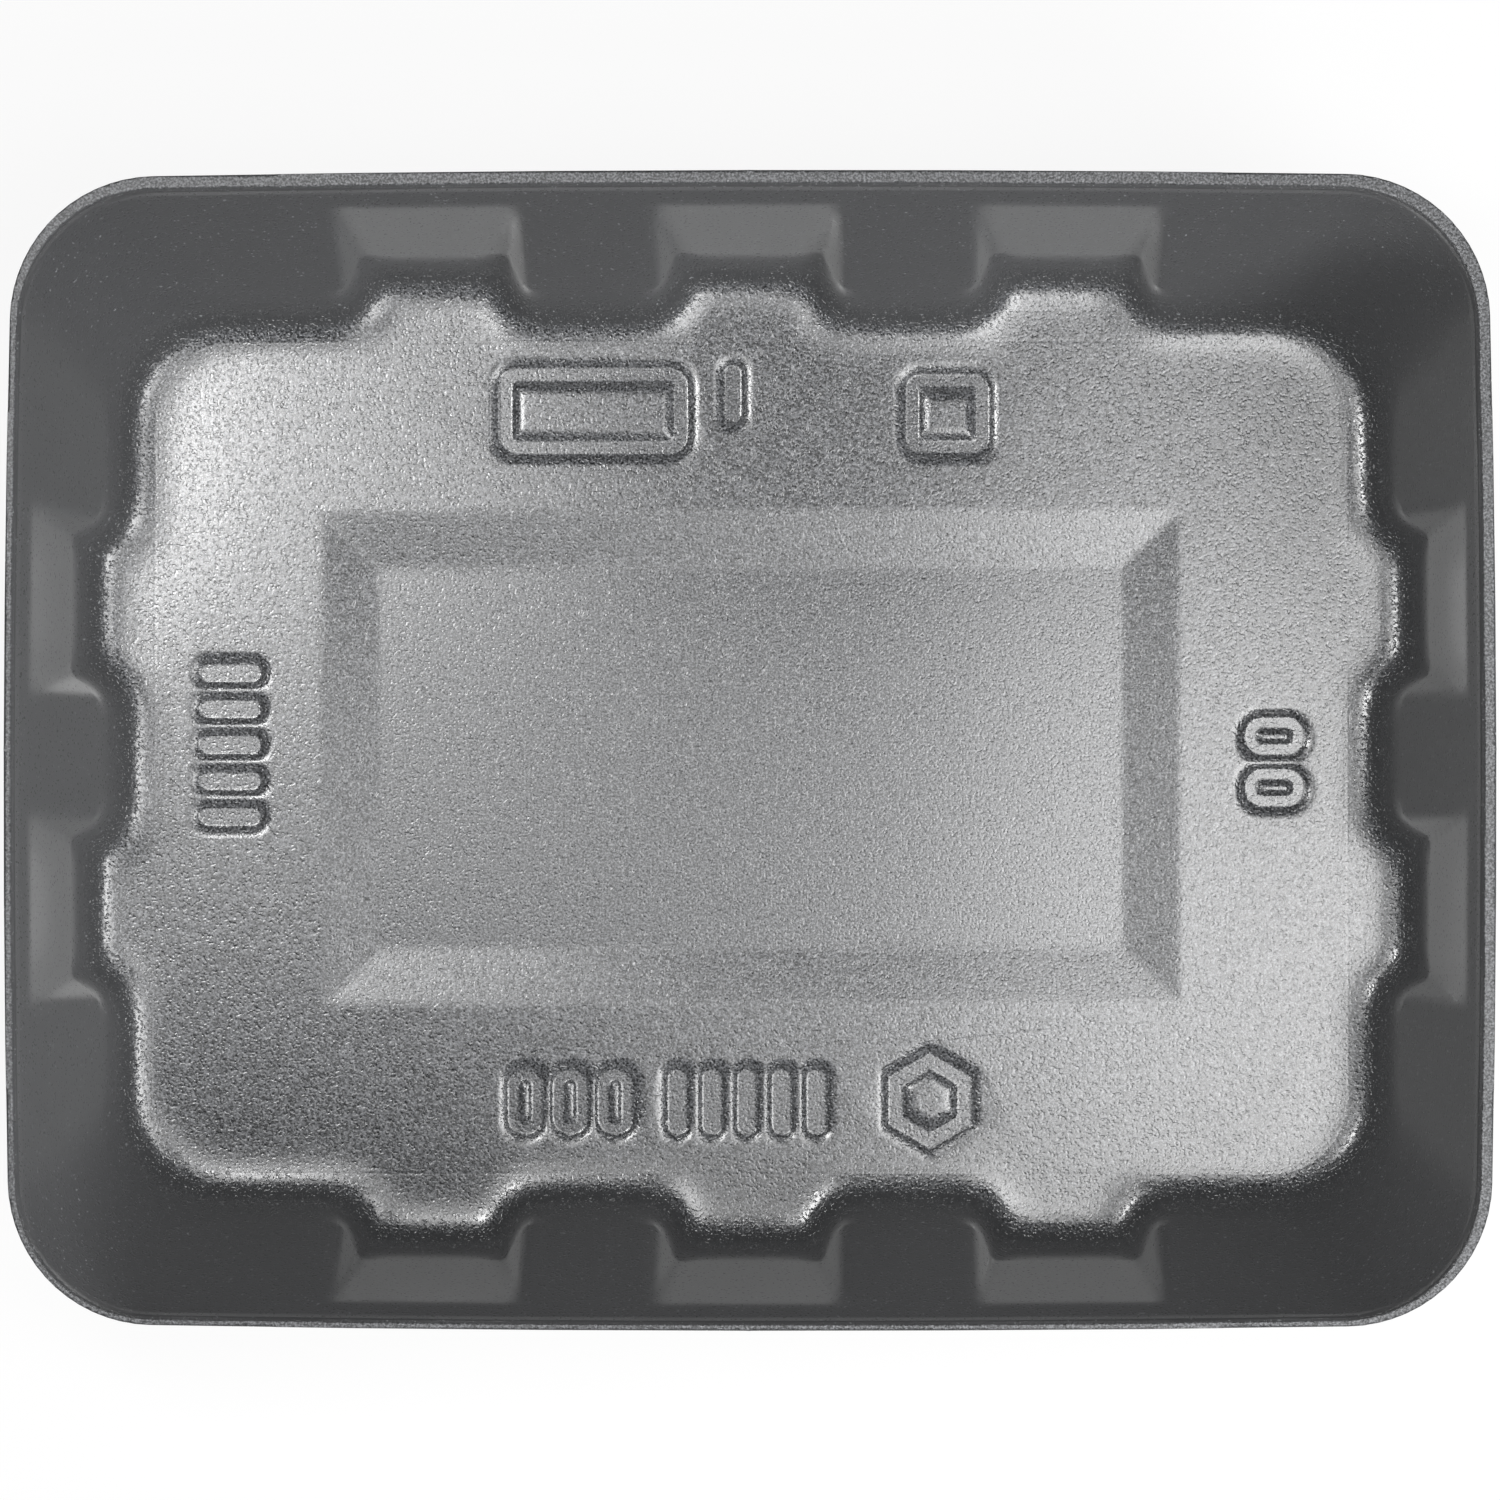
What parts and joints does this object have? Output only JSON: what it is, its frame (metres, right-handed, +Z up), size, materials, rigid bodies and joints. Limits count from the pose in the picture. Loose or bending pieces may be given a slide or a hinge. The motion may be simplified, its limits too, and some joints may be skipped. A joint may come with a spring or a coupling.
{
  "type": "foam tray",
  "caption": "Shallow rectangular foam food tray with leaning fluted walls, a narrow flat rim and a sunk panel in its floor.",
  "frame": {"origin": "on the standing face, under the middle of the rim's punched outline", "axes": "+X along the tray's length, +Y along its width, +Z up out of the open top"},
  "size_m": [0.225, 0.175, 0.037],
  "materials": {
    "foam": "black expanded polystyrene with a satin moulded skin, grained on the floor and rim"
  },
  "bodies": {
    "root": {"foam_tray": "foam"}
  },
  "joints": []
}
